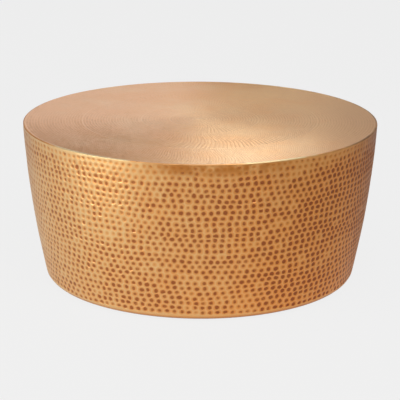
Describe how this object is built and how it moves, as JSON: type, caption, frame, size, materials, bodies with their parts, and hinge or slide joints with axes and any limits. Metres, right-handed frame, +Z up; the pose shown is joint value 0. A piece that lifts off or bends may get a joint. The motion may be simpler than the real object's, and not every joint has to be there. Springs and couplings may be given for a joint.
{
  "type": "coffee table",
  "caption": "Round drum coffee table of hammered antique-brass sheet metal, with a flat top, a bowed wall that tapers to a turned-in foot, and screw levellers underneath.",
  "frame": {"origin": "on the floor under the middle of the drum, at the undersides of the leveller pads", "axes": "+Z up along the drum's axis, -Y towards the front as pictured, +X to the right"},
  "size_m": [0.864, 0.864, 0.39],
  "materials": {
    "hammered_wall": "hand-hammered sheet, antique brass plating, brown in the hammer marks and gold on the ridges",
    "hammered_top": "finely hammered in rings, antique brass plating, satin lacquer",
    "strap_sheet": "mill finish",
    "fibreboard": "raw fibreboard",
    "frame_steel": "black powder coat",
    "zinc_steel": "zinc plated",
    "rivet_metal": "bare, dull",
    "pad_nylon": "moulded nylon"
  },
  "bodies": {
    "table": {"top_sheet": "hammered_top", "wall_panel_front": "hammered_wall", "wall_panel_back": "hammered_wall", "seam_strap_left": "strap_sheet", "seam_strap_right": "strap_sheet", "top_board": "fibreboard", "top_hoop": "frame_steel", "foot_hoop": "frame_steel", "board_screws": "zinc_steel", "foot_rivets": "rivet_metal", "upright_back_right": "frame_steel", "upright_back": "frame_steel", "upright_back_left": "frame_steel", "upright_front_left": "frame_steel", "upright_front": "frame_steel", "upright_front_right": "frame_steel", "leveller_nut_back_right": "zinc_steel", "leveller_nut_back_left": "zinc_steel", "leveller_nut_front_left": "zinc_steel", "leveller_nut_front_right": "zinc_steel"},
    "leveller_back_right": {"leveller_stem_back_right": "zinc_steel", "leveller_pad_back_right": "pad_nylon"},
    "leveller_back_left": {"leveller_stem_back_left": "zinc_steel", "leveller_pad_back_left": "pad_nylon"},
    "leveller_front_left": {"leveller_stem_front_left": "zinc_steel", "leveller_pad_front_left": "pad_nylon"},
    "leveller_front_right": {"leveller_stem_front_right": "zinc_steel", "leveller_pad_front_right": "pad_nylon"}
  },
  "joints": [
    {"name": "leveller_back_right_screw", "type": "slide", "parent": "table", "child": "leveller_back_right", "axis": [0, 0, -1], "range_m": [0, 0.01]},
    {"name": "leveller_back_left_screw", "type": "slide", "parent": "table", "child": "leveller_back_left", "axis": [0, 0, -1], "range_m": [0, 0.01]},
    {"name": "leveller_front_left_screw", "type": "slide", "parent": "table", "child": "leveller_front_left", "axis": [0, 0, -1], "range_m": [0, 0.01]},
    {"name": "leveller_front_right_screw", "type": "slide", "parent": "table", "child": "leveller_front_right", "axis": [0, 0, -1], "range_m": [0, 0.01]}
  ]
}
